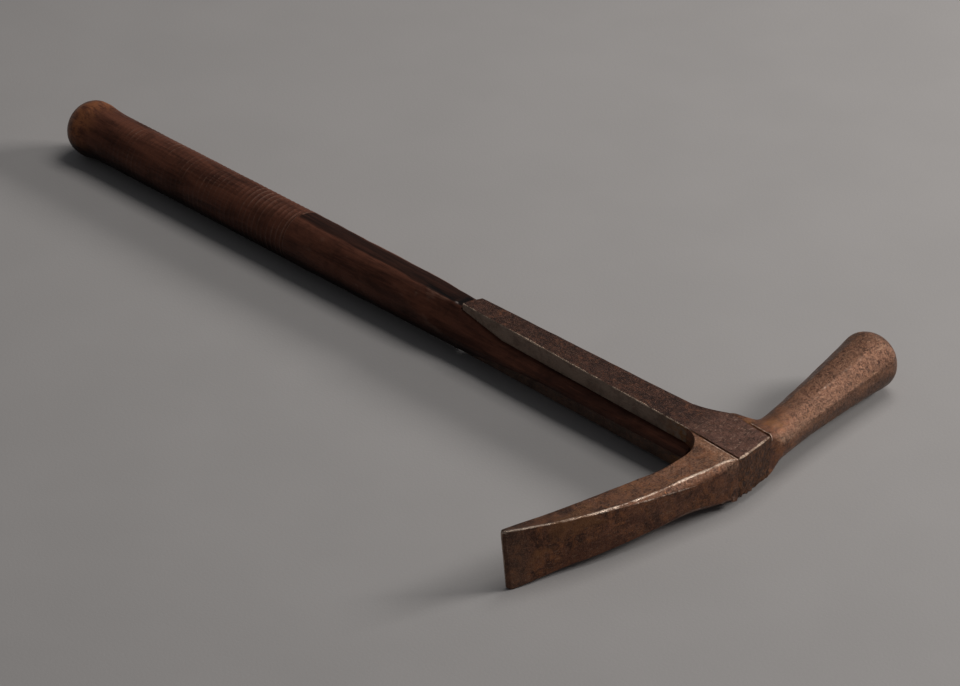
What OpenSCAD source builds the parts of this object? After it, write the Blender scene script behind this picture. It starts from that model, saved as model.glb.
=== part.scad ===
// Strapped bricklayer's hammer: a forged head with a cutting blade and a round poll, held on a
// turned hardwood handle by one wrought strap that wraps over the crown of the head.
// X runs along the handle to the crown, Y runs from the blade to the poll, and Z is up. The tool
// lies on its side, on the butt knob, one corner of the blade and the rim of the poll.

/* [Overall] */
// Length from the butt of the handle to the crown of the head
overall_length = 400; // [370:5:440]
// Width of the butt knob, the poll's bell and the blade's edge, which the tool lies on
stand_d = 25.6; // [24.6:0.2:28]

/* [Blade] */
// Distance from the handle's axis to the edge of the blade
blade_reach = 110; // [95:1:120]
// Radius of the curve that the outer side of the blade follows
blade_curve_r = 280; // [240:5:340]
// Thickness of the blade at its root
blade_root_t = 13.5; // [12:0.5:15]
// Thickness of the blade at its edge
blade_edge_t = 1.8; // [1.2:0.2:3]
// Width of the blade at its narrow neck
blade_neck_w = 16; // [14.5:0.5:17]
// Radius of the throat between the blade and the strap
throat_r = 9; // [7:0.5:11]

/* [Poll] */
// Length of the poll from its neck to the struck face
poll_length = 74; // [64:1:85]
// Diameter of the poll at its neck
poll_neck_d = 16.4; // [15:0.2:17]
// Angle that the poll leans back towards the butt
poll_lean = 9.3; // [5:0.1:12]
// Diameter of the flat in the middle of the struck face
face_flat_d = 12; // [8:1:14]

/* [Strap] */
// Length of the strap from its tip to the crown
strap_length = 154; // [140:1:165]
// Width of the strap at its tip
strap_tip_w = 9.2; // [8:0.2:10]
// Width of the strap where it reaches the head
strap_root_w = 14.4; // [13:0.2:15]
// Width of the strap where it crosses the head
panel_w = 20.2; // [19:0.2:21]
// Thickness of the strap where it passes round the crown
crown_t = 3; // [2.5:0.25:4]
// Diameter of the strap rivets
rivet_d = 5; // [4:0.5:6]

/* [Handle] */
// Diameter of the grip
grip_d = 23.2; // [21.8:0.2:23.6]
// Diameter of the wood where it meets the head
wood_end_d = 20.6; // [19.6:0.2:21]
// Number of turned rings in the band at the front of the grip
ring_count = 16; // [12:1:20]
// Distance from one ring to the next
ring_pitch = 2.9; // [2.5:0.1:3.4]

/* [Hidden] */
$fn = 96;
RIVETS = 3;

stand_r = stand_d / 2;
wide = 60; // longer than anything that it cuts

// Heights of the strap's outer faces, above and below the handle's axis
tip_z = 11.7;
root_z = 10.2;
crown_z = 8.8;
// Heights of its inner faces, where the wood and the head's web lie
tip_inner_z = tip_z - 1.4;
knee_inner_z = 4.2;
root_inner_z = 3.2;
crown_inner_z = crown_z - crown_t;

// Places along the handle, measured back from the crown
throat_x = -25;
knee_x = -strap_length + 24; // where the tapered tip of the strap reaches its full depth
flare_x = throat_x - 14; // where the strap starts to widen towards the head
ring_end_x = -strap_length - 100; // the ring nearest to the head
knob_x = -overall_length + 9; // widest place of the knob
neck_x = -overall_length + 28; // front end of the cove behind the knob

// The panel of the strap is flush with its near edge and reaches further on the poll's side
near_y = -strap_root_w / 2;
far_y = near_y + panel_w;

// The strap stands out from the head a little at the crown, and the blade springs from behind it
crown_gap = 0.4;
crown_step = 1.8;

// Poll: its axis leans back about a point at the neck
poll_neck_y = 29;
poll_neck_x = -11.4;
poll_root = 20; // length of the neck that is buried in the head
face_round = 7; // radius at the rim of the struck face
face_crown = 1.2; // how far the middle of the face stands out beyond its rounding
rim_s = poll_length - face_round - face_crown;
poll_end_y = poll_neck_y + poll_length * cos(poll_lean) + face_flat_d / 2 * sin(poll_lean);

centre_y = (poll_end_y - blade_reach) / 2;

function arc(c, r, a0, a1, n) = [for (i = [0:n]) c + r * [cos(a0 + (a1 - a0) * i / n), sin(a0 + (a1 - a0) * i / n)]];
function mirrored(points) = [for (i = [len(points) - 1:-1:0]) [points[i][0], -points[i][1]]];
function mix(a, b, t) = a + (b - a) * t;

// Depth of the blade's outer side behind the crown, at a distance y from the handle's axis
function sweep(y) = crown_step + blade_curve_r - sqrt(blade_curve_r * blade_curve_r - y * y);

// Places the tool so that the origin is under the middle of its box, on the surface it lies on
module placed() {
    translate([overall_length / 2, -centre_y, stand_r]) children();
}

// Extrudes an outline drawn in X and Z through the whole width of the tool
module through_y(points) {
    rotate([90, 0, 0]) linear_extrude(height = 4 * wide, center = true) polygon(points);
}

// ---- Strap ----

// Half the side view of the strap's outer faces, from the tip to the crown
strap_outer = [[-strap_length, tip_z - 0.6], [-strap_length + 1.5, tip_z], [throat_x, root_z],
    [-1, crown_z], [0, crown_z - 1]];
// Half the side view of the space inside the strap, which holds the wood and the head's web
strap_inner = [[-strap_length, tip_inner_z], [knee_x, knee_inner_z], [throat_x, root_inner_z],
    [-crown_t, crown_inner_z]];

// Plan view of the strap: a long taper that flares into the panel over the head
module strap_plan() {
    flare_w = far_y - strap_root_w / 2;
    flare_l = 16;
    tip_y = strap_tip_w / 2;
    tip_slant = 3.5; // the end of the strap is cut off at a slant
    polygon(concat(
        [[-strap_length, -tip_y + 0.8], [-strap_length + 0.8, -tip_y], [throat_x, near_y], [0, near_y], [0, far_y]],
        [for (a = [90:-15:0]) [flare_x + flare_l * a / 90, strap_root_w / 2 + flare_w * (1 - cos(a))]],
        [[-strap_length + tip_slant, tip_y]]));
}

module rivet_bores(d) {
    for (i = [1:RIVETS]) translate([rivet_x(i), 0, 0]) cylinder(d = d, h = wide, center = true);
}

function rivet_x(i) = mix(throat_x - 14, knee_x + 6, (i - 1) / (RIVETS - 1));

module strap() {
    color("#5a4438") placed() difference() {
        intersection() {
            linear_extrude(height = wide, center = true) strap_plan();
            through_y(concat(strap_outer, mirrored(strap_outer)));
        }
        through_y(concat([[-wide * 4, tip_inner_z]], strap_inner, mirrored(strap_inner),
            [[-wide * 4, -tip_inner_z]]));
        rivet_bores(rivet_d);
    }
}

module strap_rivet(i) {
    color("#4c3a30") placed() intersection() {
        translate([rivet_x(i), 0, 0]) cylinder(d = rivet_d, h = wide, center = true);
        through_y(concat(strap_outer, mirrored(strap_outer)));
    }
}

// ---- Head ----

// Plan view of the blade and the middle of the head
module head_plan() {
    outer = [for (i = [2:10]) let (y = -blade_reach * i / 10) [-sweep(y), y]];
    tip_x = -sweep(-blade_reach);
    neck_half = poll_neck_d * 0.35;
    polygon(concat(
        [[-crown_gap, far_y], [-crown_gap, near_y], [-crown_gap - 1, near_y - 5]],
        outer,
        [[tip_x - blade_edge_t, -blade_reach], [-blade_root_t - 4, -blade_reach * 0.29]],
        arc([throat_x - 1.6, near_y - throat_r], throat_r, 0, 90, 8),
        [[throat_x, near_y], [throat_x, far_y - 1.5]],
        arc([throat_x - 5.5, far_y + 12.5], 12, -62, 0, 6),
        [[poll_neck_x - neck_half, poll_neck_y], [poll_neck_x + neck_half, poll_neck_y], [-3, far_y + 2]]));
}

// Half the width of the head at each distance from the handle's axis, seen from the crown
blade_half = [[1, stand_r], [0.87, stand_r - 1.3], [0.73, stand_r - 2.6], [0.56, stand_r - 3.9],
    [0.42, blade_neck_w / 2 + 0.3], [0.3, blade_neck_w / 2], [0.17, blade_neck_w / 2 + 0.3]];
head_half = concat(
    [for (p = blade_half) [-blade_reach * p[0], p[1]]],
    [[near_y - 2, root_z - 0.7], [near_y, root_z - 0.3], [far_y, root_z - 0.3], [far_y + 3, poll_neck_d / 2],
        [poll_neck_y, poll_neck_d * 0.35]]);

// Half the side view of the head, which falls away with the panel towards the crown
head_slope = [[-wide, wide / 3], [throat_x - 10, wide / 3], [throat_x - 10, root_z + 0.2], [0, crown_z - 0.2]];

module head_centre() {
    intersection() {
        linear_extrude(height = wide, center = true) head_plan();
        rotate([90, 0, 90]) linear_extrude(height = 4 * wide, center = true)
            polygon(concat(head_half, mirrored(head_half)));
        union() {
            through_y(concat(head_slope, mirrored(head_slope)));
            translate([-wide, -wide * 2 + near_y - 4, -wide / 2]) cube([wide * 2, wide * 2, wide]);
        }
    }
}

// Turned poll: neck, bell and softly rounded struck face
module poll() {
    steps = 10;
    bell = [for (i = [0:steps]) let (t = i / steps)
        [mix(poll_neck_d / 2, stand_r, pow(t, 1.35)), rim_s * t]];
    translate([poll_neck_x, poll_neck_y, 0]) rotate([0, 0, poll_lean]) rotate([-90, 0, 0]) rotate_extrude()
        polygon(concat(
            [[0, -poll_root], [poll_neck_d / 2, -poll_root]],
            bell,
            arc([stand_r - face_round, rim_s], face_round, 15, 80, 5),
            [[face_flat_d / 2, poll_length], [0, poll_length]]));
}

module head() {
    color("#6b5140") placed() difference() {
        union() {
            head_centre();
            poll();
        }
        // channel that the strap lies in, over both cheeks and the crown
        difference() {
            linear_extrude(height = wide, center = true) strap_plan();
            through_y(concat(strap_inner, mirrored(strap_inner)));
        }
    }
}

// ---- Handle ----

// Side view of what is shaved off the top of the round wood: a flat from the rings to the strap's tip,
// and then the wood that the strap takes the place of
flat_step = 0.25; // how far the flat lies below the round wood where the rings end
shaved = [[ring_end_x, wide / 2], [ring_end_x, grip_d / 2 - flat_step], [-strap_length, tip_inner_z],
    [knee_x, knee_inner_z], [throat_x, root_inner_z], [wide, root_inner_z], [wide, wide / 2]];

// Radius of the turned handle at a place along it, in front of the grip
function wood_r(x) = mix(grip_d / 2, wood_end_d / 2, (x - ring_end_x) / (throat_x - ring_end_x));

module turned_wood() {
    dome = 7; // length of the rounded butt
    grip_r = grip_d / 2;
    ring_start_x = ring_end_x - ring_count * ring_pitch;
    groove = 0.4;
    rings = [for (i = [0:ring_count - 1], p = [[0, 0], [0.55, 0], [0.8, groove]])
        [grip_r - p[1], ring_start_x + (i + p[0]) * ring_pitch]];
    rotate([0, 90, 0]) rotate_extrude()
        polygon(concat(
            [[0, -overall_length]],
            [for (a = [20:10:90]) [stand_r * sin(a), -overall_length + (knob_x + overall_length) * (1 - cos(a))]],
            [for (a = [20:20:180]) [mix(stand_r, grip_r - 0.2, (1 - cos(a)) / 2), mix(knob_x, neck_x, a / 180)]],
            rings,
            [[grip_r, ring_end_x], [wood_r(throat_x), throat_x], [0, throat_x]]));
}

module handle() {
    color("#3c241c") placed() difference() {
        turned_wood();
        through_y(shaved);
        through_y(mirrored(shaved));
        rivet_bores(rivet_d);
    }
}

head();
strap();
handle();
for (i = [1:RIVETS]) strap_rivet(i);
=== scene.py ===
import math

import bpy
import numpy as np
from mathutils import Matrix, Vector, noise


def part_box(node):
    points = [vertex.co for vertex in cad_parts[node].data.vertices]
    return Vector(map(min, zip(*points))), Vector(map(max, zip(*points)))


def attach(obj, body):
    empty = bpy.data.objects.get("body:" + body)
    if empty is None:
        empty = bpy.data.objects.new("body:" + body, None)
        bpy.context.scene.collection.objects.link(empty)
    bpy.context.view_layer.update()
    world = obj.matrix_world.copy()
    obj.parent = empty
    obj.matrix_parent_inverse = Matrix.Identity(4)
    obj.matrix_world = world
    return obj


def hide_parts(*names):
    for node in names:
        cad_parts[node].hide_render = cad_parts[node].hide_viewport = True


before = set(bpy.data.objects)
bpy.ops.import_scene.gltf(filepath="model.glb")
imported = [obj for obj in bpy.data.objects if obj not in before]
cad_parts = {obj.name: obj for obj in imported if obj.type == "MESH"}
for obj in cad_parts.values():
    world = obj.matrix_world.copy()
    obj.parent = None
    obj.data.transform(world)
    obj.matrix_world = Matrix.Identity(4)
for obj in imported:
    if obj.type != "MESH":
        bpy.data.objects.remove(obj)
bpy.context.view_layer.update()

# A strapped bricklayer's hammer that lies on its side on a grey floor. Every piece is a closed mesh
# lofted from sections, and takes the place of one CAD node.
# Shapes are in the tool's own frame, in millimetres: x is 0 at the crown and falls towards the butt,
# y is 0 on the handle's axis, negative on the blade's side, and z is 0 in the middle plane.
# Each piece carries marks, numbers from 0 to 1 at its points, which say where its material is worn,
# dirty, polished and so on, and where highlights and shade are painted into its colour.

MM = 0.001

# ---- Driving sizes, from the frame ----

head_low, head_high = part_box("head")
strap_low, strap_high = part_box("strap")
wood_low, wood_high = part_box("handle")
CROWN = np.array([strap_high.x, (wood_low.y + wood_high.y) / 2, (wood_low.z + wood_high.z) / 2])
STAND_R = (head_high.z - head_low.z) / 2 / MM  # from the handle's axis down to the floor
EDGE_Y = (head_low.y - CROWN[1]) / MM  # the blade's cutting edge
TIP_X = (strap_low.x - CROWN[0]) / MM
BUTT_X = (wood_low.x - CROWN[0]) / MM
THROAT_X = (wood_high.x - CROWN[0]) / MM
PANEL_WIDTH = 20.2
NEAR_Y = -7.2  # near edge of the strap where it crosses the head
FAR_Y = NEAR_Y + PANEL_WIDTH
RIVETS = 3

# Heights of the strap's outer and inner faces over the handle's axis
TIP_Z = 11.7
ROOT_Z = 10.2
CROWN_Z = 8.8
LOW_TIP_Z = 10.9  # the underside lies flatter, and the crown hangs a little lower there
LOW_CROWN_Z = 9.8
KNEE_X = TIP_X + 24
TIP_INNER_Z = 8.9
KNEE_INNER_Z = 4.2
ROOT_INNER_Z = 3.2
CROWN_INNER_Z = 5.8
CROWN_THICK = 3.0
CROWN_SKEW = 2.4  # how far the crown falls back on the poll's side

# Edges of the strap in plan
TIP_NEAR_Y = -4.4
TIP_FAR_Y = 4.5
TIP_BLUNT = 0.7  # how far the tip's near corner is cut back
TIP_SLANT = 2.5  # how steeply the tip is cut across
FLARE_START_X = THROAT_X - 15  # where the strap starts to widen into the panel
FLARE_LENGTH = 17
BEND_LONG = 1.3  # the outer bend at the crown, along the tool and up
BEND_HIGH = 1.2

# Places along the handle
RING_END_X = TIP_X - 100
RING_PITCH = 2.9
RINGS = 16
GRIP_R = 11.6
WOOD_END_R = 10.35
KNOB_X = BUTT_X + 11.5
NECK_X = BUTT_X + 26

# Poll
POLL_LEAN = math.radians(9.3)
POLL_NECK_X = -11.4
POLL_NECK_Y = 29.0
POLL_NECK_R = 8.3
BELL_R = 12.35
POLL_LENGTH = 74.0
FACE_ROUND = 7.5
FACE_DOME = 1.3
BELL_S = POLL_LENGTH - FACE_ROUND - FACE_DOME


# ---- Small tools ----

def smooth(start, end, value):
    """Goes from 0 at start to 1 at end, with a soft start and end. The end may lie below the start."""
    t = np.clip((np.asarray(value, float) - start) / (end - start), 0, 1)
    return t * t * (3 - 2 * t)


def mix(a, b, t):
    return a + (b - a) * t


def bell(distance, width):
    """1 at no distance, falling to nothing at about twice the width."""
    return np.exp(-(distance / width) ** 2)


def pairs(a, b):
    """Points from their two coordinates."""
    return np.stack([a, b], -1)


def curve(*points):
    """A smooth function through the points that doesn't overshoot between them."""
    xs, ys = np.array(points, float).T
    step = np.diff(xs)
    slope = np.diff(ys) / step
    tangent = np.concatenate([slope[:1], np.zeros(len(xs) - 2), slope[-1:]])
    for i in range(1, len(xs) - 1):
        if slope[i - 1] * slope[i] > 0:
            tangent[i] = 2 * slope[i - 1] * slope[i] / (slope[i - 1] + slope[i])

    def at(value):
        value = np.clip(value, xs[0], xs[-1])
        i = np.clip(np.searchsorted(xs, value) - 1, 0, len(step) - 1)
        t = (value - xs[i]) / step[i]
        a = tangent[i] * step[i]
        b = tangent[i + 1] * step[i]
        rise = ys[i + 1] - ys[i]
        return ys[i] + t * (a + t * (3 * rise - 2 * a - b + t * (a + b - 2 * rise)))

    return at


def stations(*runs):
    """Places from (start, end, step) runs that follow each other, each evened out to fit its ends."""
    parts = []
    for start, end, step in runs:
        count = max(1, round((end - start) / step))
        parts.append(start + (end - start) * np.arange(count) / count)
    return np.concatenate(parts + [[runs[-1][1]]])


def unit(v):
    return v / np.maximum(np.linalg.norm(v, axis=-1, keepdims=True), 1e-9)


def sections(corners, cuts, sharpness, corner_steps, side_steps):
    """Closed outlines round four corners, one for each row of corners. Each corner is cut back by its
    cut and bent by its sharpness: 0.7 is an arc, and towards 0 it becomes a flat chamfer."""
    before = unit(np.roll(corners, 1, axis=1) - corners)
    after = unit(np.roll(corners, -1, axis=1) - corners)
    first = corners + before * cuts[..., None]
    last = corners + after * cuts[..., None]
    t = np.linspace(0, 1, corner_steps)[None, :, None]
    run = (0.5 - 0.5 * np.cos(np.pi * np.linspace(0, 1, side_steps + 2)[1:-1]))[None, :, None]
    parts = []
    for k in range(4):
        w = sharpness[:, k, None, None]
        a, p, b = first[:, k, None], corners[:, k, None], last[:, k, None]
        weight = (1 - t) ** 2 + 2 * w * t * (1 - t) + t ** 2
        parts.append(((1 - t) ** 2 * a + 2 * w * t * (1 - t) * p + t ** 2 * b) / weight)
        parts.append(mix(b, first[:, (k + 1) % 4, None], run))
    return np.concatenate(parts, axis=1)


def fractal(points, size, octaves=3):
    """Soft noise from about -1 to 1 at each point, with features of the given size in mm."""
    return np.array([noise.fractal(Vector(p), 0.9, 2.0, octaves) for p in points / size])


class Piece:
    """A closed loft of rings, each an array of points in the tool's frame, in mm."""

    def __init__(self, name, rings):
        count, around = rings.shape[:2]
        self.name = name
        self.points = np.concatenate([rings.reshape(-1, 3), [rings[0].mean(0), rings[-1].mean(0)]])
        row, col = np.meshgrid(np.arange(count - 1), np.arange(around), indexing="ij")
        here = row * around + col
        beside = row * around + (col + 1) % around
        sides = np.stack([here, beside, beside + around, here + around], -1).reshape(-1, 4)
        rim = np.arange(around)
        end = (count - 1) * around
        next_rim = (rim + 1) % around
        start_fan = np.stack([next_rim, rim, np.full(around, count * around)], -1)
        end_fan = np.stack([end + rim, end + next_rim, np.full(around, count * around + 1)], -1)
        self.faces = sides.tolist() + start_fan.tolist() + end_fan.tolist()
        round_ring = pairs(here, beside).reshape(-1, 2)
        along_loft = pairs(here, here + around).reshape(-1, 2)
        self.edges = np.concatenate([round_ring, along_loft])
        self.marks = {}
        if self.volume() < 0:
            self.faces = [face[::-1] for face in self.faces]

    def volume(self):
        """Its sign tells whether the faces look outwards. A share of them is enough for that."""
        total = 0
        for face in self.faces[::7]:
            a, b, c = self.points[face[0]], self.points[face[1]], self.points[face[2]]
            total += np.dot(a - self.points[-2], np.cross(b - self.points[-2], c - self.points[-2]))
        return total

    def normals(self):
        mesh = bpy.data.meshes.new("scratch")
        mesh.from_pydata(self.points, [], self.faces)
        out = np.empty(len(self.points) * 3, np.float32)
        mesh.vertices.foreach_get("normal", out)
        bpy.data.meshes.remove(mesh)
        return out.reshape(-1, 3).astype(float)

    def push(self, amount):
        """Moves each point outwards by its own amount."""
        self.points += self.normals() * np.asarray(amount)[:, None]

    def relief(self, rounds):
        """How far each point stands out from its smoothed surroundings, in mm."""
        a, b = self.edges.T
        total = len(self.points)
        degree = np.maximum(np.bincount(a, minlength=total) + np.bincount(b, minlength=total), 1)
        soft = self.points.copy()
        for _ in range(rounds):
            for axis in range(3):
                pull = np.bincount(a, soft[b, axis], total) + np.bincount(b, soft[a, axis], total)
                soft[:, axis] = (soft[:, axis] + pull / degree) / 2
        return ((self.points - soft) * self.normals()).sum(1)

    def finish(self, node, material, slot):
        """Makes the object, inside its CAD node's box, and hangs it on the frame."""
        low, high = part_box(node)
        place = np.clip(self.points * MM + CROWN, np.array(low), np.array(high))
        mesh = bpy.data.meshes.new(self.name)
        mesh.from_pydata(place, [], self.faces)
        for mark, values in self.marks.items():
            layer = mesh.attributes.new(mark, "FLOAT", "POINT")
            layer.data.foreach_set("value", np.asarray(values, np.float32))
        mesh.materials.append(material)
        mesh.shade_smooth()
        made = bpy.data.objects.new(self.name, mesh)
        bpy.context.scene.collection.objects.link(made)
        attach(made, "root")
        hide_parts(node)


# ---- Strap faces, shared by the strap, the head's channel and the wood ----

def outer_z(x, tip=TIP_Z, crown=CROWN_Z):
    """Height of the strap's outer face, which drops a little over the last millimetre of the tip."""
    tip_drop = 0.5 * np.clip((TIP_X + 1.2 - x) / 1.2, 0, 1)
    leg = mix(tip, ROOT_Z, np.clip((x - TIP_X - 1.5) / (THROAT_X - TIP_X - 1.5), 0, 1))
    panel = mix(ROOT_Z, crown, np.clip((x - THROAT_X) / (-1 - THROAT_X), 0, 1))
    return np.where(x < THROAT_X, leg, panel) - tip_drop


def inner_z(x):
    return np.interp(x, [TIP_X, KNEE_X, THROAT_X, -CROWN_THICK],
                     [TIP_INNER_Z, KNEE_INNER_Z, ROOT_INNER_Z, CROWN_INNER_Z])


def strap_near(x):
    """Near edge of the strap in plan, with a blunt corner at the tip."""
    edge = mix(TIP_NEAR_Y, NEAR_Y, np.clip((x - TIP_X) / (THROAT_X - TIP_X), 0, 1))
    return edge + TIP_BLUNT * (1 - smooth(TIP_X, TIP_X + 0.9, x))


def strap_far(x):
    """Far edge of the strap, which flares out into the panel over the head. The tip is cut at a slant."""
    turn = np.clip((x - FLARE_START_X) / FLARE_LENGTH, 0, 1) * math.pi / 2
    leg = mix(TIP_FAR_Y, -NEAR_Y, np.clip((x - TIP_X) / (FLARE_START_X - TIP_X), 0, 1))
    slant = strap_near(x) + TIP_BLUNT + (x - TIP_X) * TIP_SLANT
    return np.minimum(leg + (FAR_Y + NEAR_Y) * (1 - np.cos(turn)), slant)


def skew(y):
    """How far the crown lies back at a place across it."""
    return CROWN_SKEW * np.clip((y - NEAR_Y) / (FAR_Y - NEAR_Y), 0, 1.3) ** 1.3


def seam_groove(points):
    """Depth of the lines where the strap's panel meets the head. The far one fades towards the throat."""
    x, y, z = points.T
    width = 0.32
    on_face = smooth(6, 7, np.abs(z)) * smooth(THROAT_X - 3, THROAT_X + 1, x)
    near = 0.45 * bell(y - NEAR_Y, width)
    far = 0.4 * bell(y - FAR_Y, width) * smooth(-20, -8, x)
    return (near + far) * on_face


# ---- Head ----

THROAT_R = 11.0
HEAD_BACK_X = -17.5  # inner side of the head beside the throat
BLADE_OUTER_Y = -63  # beyond this the blade's lower half is deeper than its upper half
CORNER_STEPS = 8  # points round each corner of a section of the head
SIDE_STEPS = 24  # points along each of its sides


def sweep(y):
    """How far the blade's outer side has curved back at y."""
    radius = 280
    return 1.8 + radius - np.sqrt(radius ** 2 - y ** 2)


def square_to_y(loops, y):
    """Puts outlines, each of (x, z) points, at their places along y."""
    return np.stack([loops[..., 0], np.broadcast_to(y[:, None], loops.shape[:2]), loops[..., 1]], -1)


def blade_heights(y):
    """Heights of the blade's long edges: outer and inner above, then inner and outer below."""
    neck = curve((BLADE_OUTER_Y, 9.0), (-46, 8.3), (-30, 8.0), (-19, 8.2))(y)
    top_tip = curve((EDGE_Y, 11.7), (-96, 10.9), (-80, 9.9), (BLADE_OUTER_Y, 9.0))(y)
    low_tip = curve((EDGE_Y, STAND_R + 0.1), (-96, 11.5), (-80, 10.2), (BLADE_OUTER_Y, 9.0))(y)
    top = np.where(y < BLADE_OUTER_Y, top_tip, neck)
    low = np.where(y < BLADE_OUTER_Y, low_tip, neck)
    cheek = smooth(-19, -8, y)
    low_cheek = smooth(-34, -11, y)
    rounded = 1.3 * np.clip(1 - (y - EDGE_Y) / 2.2, 0, 1) ** 2
    return [mix(top, CROWN_Z - 0.15, cheek) - rounded,
            mix(top, ROOT_Z - 0.1, cheek) - rounded,
            rounded - mix(low, ROOT_Z - 0.1, cheek),
            rounded - mix(low, LOW_CROWN_Z + 0.4, low_cheek)]


def blade_cuts(y, thickness):
    """Chamfer on the blade's outer edges and the smaller one on its inner edges."""
    chamfer = curve((EDGE_Y, 0.35), (-72, 0.5), (-46, 1.6), (-26, 2.9), (-14, 2.9), (NEAR_Y, 0.4))(y)
    inner = curve((EDGE_Y, 0.4), (-80, 0.9), (-30, 1.4), (-17, 0.8), (NEAR_Y, 0.35))(y)
    most = thickness * 0.42
    return np.stack([np.minimum(cut, most) for cut in (chamfer, inner, inner, chamfer)], axis=1)


def chamfer_highlight_lines(rings, y):
    """How close each point lies to the bright lines along the upper chamfer's two edges, painted
    highlights on worn edges.
    """
    from_top_edge = np.linalg.norm(rings - rings[:, CORNER_STEPS - 1, None], axis=2)
    from_face_edge = np.linalg.norm(rings - rings[:, 0, None], axis=2)
    lower_line = 0.6 * smooth(-84, -60, y) * (1 - smooth(-50, -16, y))
    lines = bell(from_top_edge, 0.6) + bell(from_face_edge, 0.45) * lower_line[:, None]
    return lines * (1 - smooth(-9.5, NEAR_Y, y))[:, None]


def blade_rings():
    """Sections of the blade, from its edge to the near wall of the strap's channel, and their lines."""
    y = stations((EDGE_Y + 0.5, EDGE_Y + 2, 0.25), (EDGE_Y + 2, -22, 0.7),
                 (-22, -9, 0.4), (-9, NEAR_Y - 0.06, 0.13), (NEAR_Y - 0.06, NEAR_Y - 0.02, 0.02))
    twist = smooth(-84, EDGE_Y, y)
    near_crown = smooth(-40, -8, y)
    out_top = -sweep(y) - 0.7 * twist + 1.85 * near_crown
    out_low = -sweep(y) + 2.4 * twist + 1.4 * near_crown
    back = curve((EDGE_Y, -26.3), (-76, -22.5), (-46, -19.3), (-31, HEAD_BACK_X),
                 (NEAR_Y - THROAT_R, HEAD_BACK_X))(y)
    into_throat = np.clip(y - NEAR_Y + THROAT_R, 0, THROAT_R)
    throat = np.sqrt(np.maximum(THROAT_R ** 2 - into_throat ** 2, 0)) + HEAD_BACK_X - THROAT_R
    back = np.where(y > NEAR_Y - THROAT_R, throat, back)
    # the blade's end is ground down to its cutting edge
    thin = 1 - 0.75 * smooth(EDGE_Y + 1.6, EDGE_Y + 0.4, y)
    middle_top = (out_top + back) / 2 - 0.3 * twist
    middle_low = (out_low + back) / 2 + 0.9 * twist
    edges = [mix(middle_top, out_top, thin), mix(middle_top, back - 0.7 * twist, thin),
             mix(middle_low, back + 2.4 * twist, thin), mix(middle_low, out_low, thin)]
    corners = np.stack([pairs(edge, height) for edge, height in zip(edges, blade_heights(y))], axis=1)
    bend = np.repeat([[0.1, 0.7, 0.7, 0.3]], len(y), 0)
    bend[:, 0] += 0.5 * near_crown
    loops = sections(corners, blade_cuts(y, (out_top - back) * thin), bend, CORNER_STEPS, SIDE_STEPS)
    rings = square_to_y(loops, y)
    return rings, chamfer_highlight_lines(rings, y)


def web_rings():
    """Sections of the head inside the strap's channel, which the strap hides."""
    y = np.array([NEAR_Y + 0.02, NEAR_Y + 2, 0, 6, FAR_Y - 2, FAR_Y - 0.02])
    out = -CROWN_THICK - 0.05 - skew(y)
    back = np.full_like(y, THROAT_X + 0.05)
    half_out = np.full_like(y, CROWN_INNER_Z - 0.1)
    half_back = np.full_like(y, ROOT_INNER_Z - 0.1)
    corners = np.stack([pairs(out, half_out), pairs(back, half_back),
                        pairs(back, -half_back), pairs(out, -half_out)], axis=1)
    cuts = np.full((len(y), 4), 0.4)
    return square_to_y(sections(corners, cuts, np.full(cuts.shape, 0.7), CORNER_STEPS, SIDE_STEPS), y)


def poll_axis(y):
    """Where the poll's leaning axis lies at y."""
    return POLL_NECK_X - math.tan(POLL_LEAN) * (y - POLL_NECK_Y)


def poll_shoulder(y, radius):
    """Sections that turn from the oblong at the channel's wall into the size of the neck."""
    shoulder = (1 - smooth(FAR_Y, 30, y)) ** 0.5
    out = curve((FAR_Y, -CROWN_SKEW), (17, -2.8), (22, -3.0), (29, -3.1))(y) - poll_axis(y)
    back = curve((FAR_Y, -24.0), (16.8, -22.0), (21, -20.2), (26, -19.9), (31, -20.2))(y) - poll_axis(y)
    out = mix(radius, out, shoulder)
    back = mix(-radius, back, shoulder)
    at_wall = 1 - smooth(FAR_Y, 22, y)
    half_out = mix(radius, CROWN_Z - 0.1, at_wall)
    half_in = mix(radius, ROOT_Z - 0.05, 1 - smooth(FAR_Y, 20, y))
    half_low = mix(radius, LOW_CROWN_Z - 0.1, at_wall)
    corners = np.stack([pairs(out, half_out), pairs(back, half_in),
                        pairs(back, -half_in), pairs(out, -half_low)], axis=1)
    cut = mix(np.minimum(radius, 7.0) * 0.9, 1.3, 1 - smooth(FAR_Y, 23, y))
    cuts = np.repeat(cut[:, None], 4, 1)
    return sections(corners, cuts, np.full(cuts.shape, 0.65), CORNER_STEPS, SIDE_STEPS)


def poll_neck(s, radius, angle):
    """Round sections with eight soft facets, which fade out towards the bell."""
    eighth = math.pi / 4
    facet = np.mod(angle - 0.35, eighth) - eighth / 2
    octagon = math.cos(eighth / 2) / np.cos(facet) * 1.025
    hewn = 0.5 * smooth(2, 14, s) * (1 - smooth(50, 64, s))
    ring = radius[:, None] * mix(1, octagon[None, :], hewn[:, None])
    return pairs(ring * np.cos(angle), ring * np.sin(angle))


def poll_face(angle):
    """Rings of the rounded rim and the slightly domed struck face, and each ring's place on the axis."""
    turn = np.linspace(0, math.pi / 2, 20)[1:]
    inward = np.linspace(0.85, 0.04, 8)
    flat_r = BELL_R - FACE_ROUND
    radius = np.concatenate([flat_r + FACE_ROUND * np.cos(turn), flat_r * inward])
    rise = np.concatenate([FACE_ROUND * np.sin(turn), FACE_ROUND + FACE_DOME * (1 - inward ** 2)])
    return radius[:, None, None] * pairs(np.cos(angle), np.sin(angle))[None], BELL_S + rise


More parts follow.
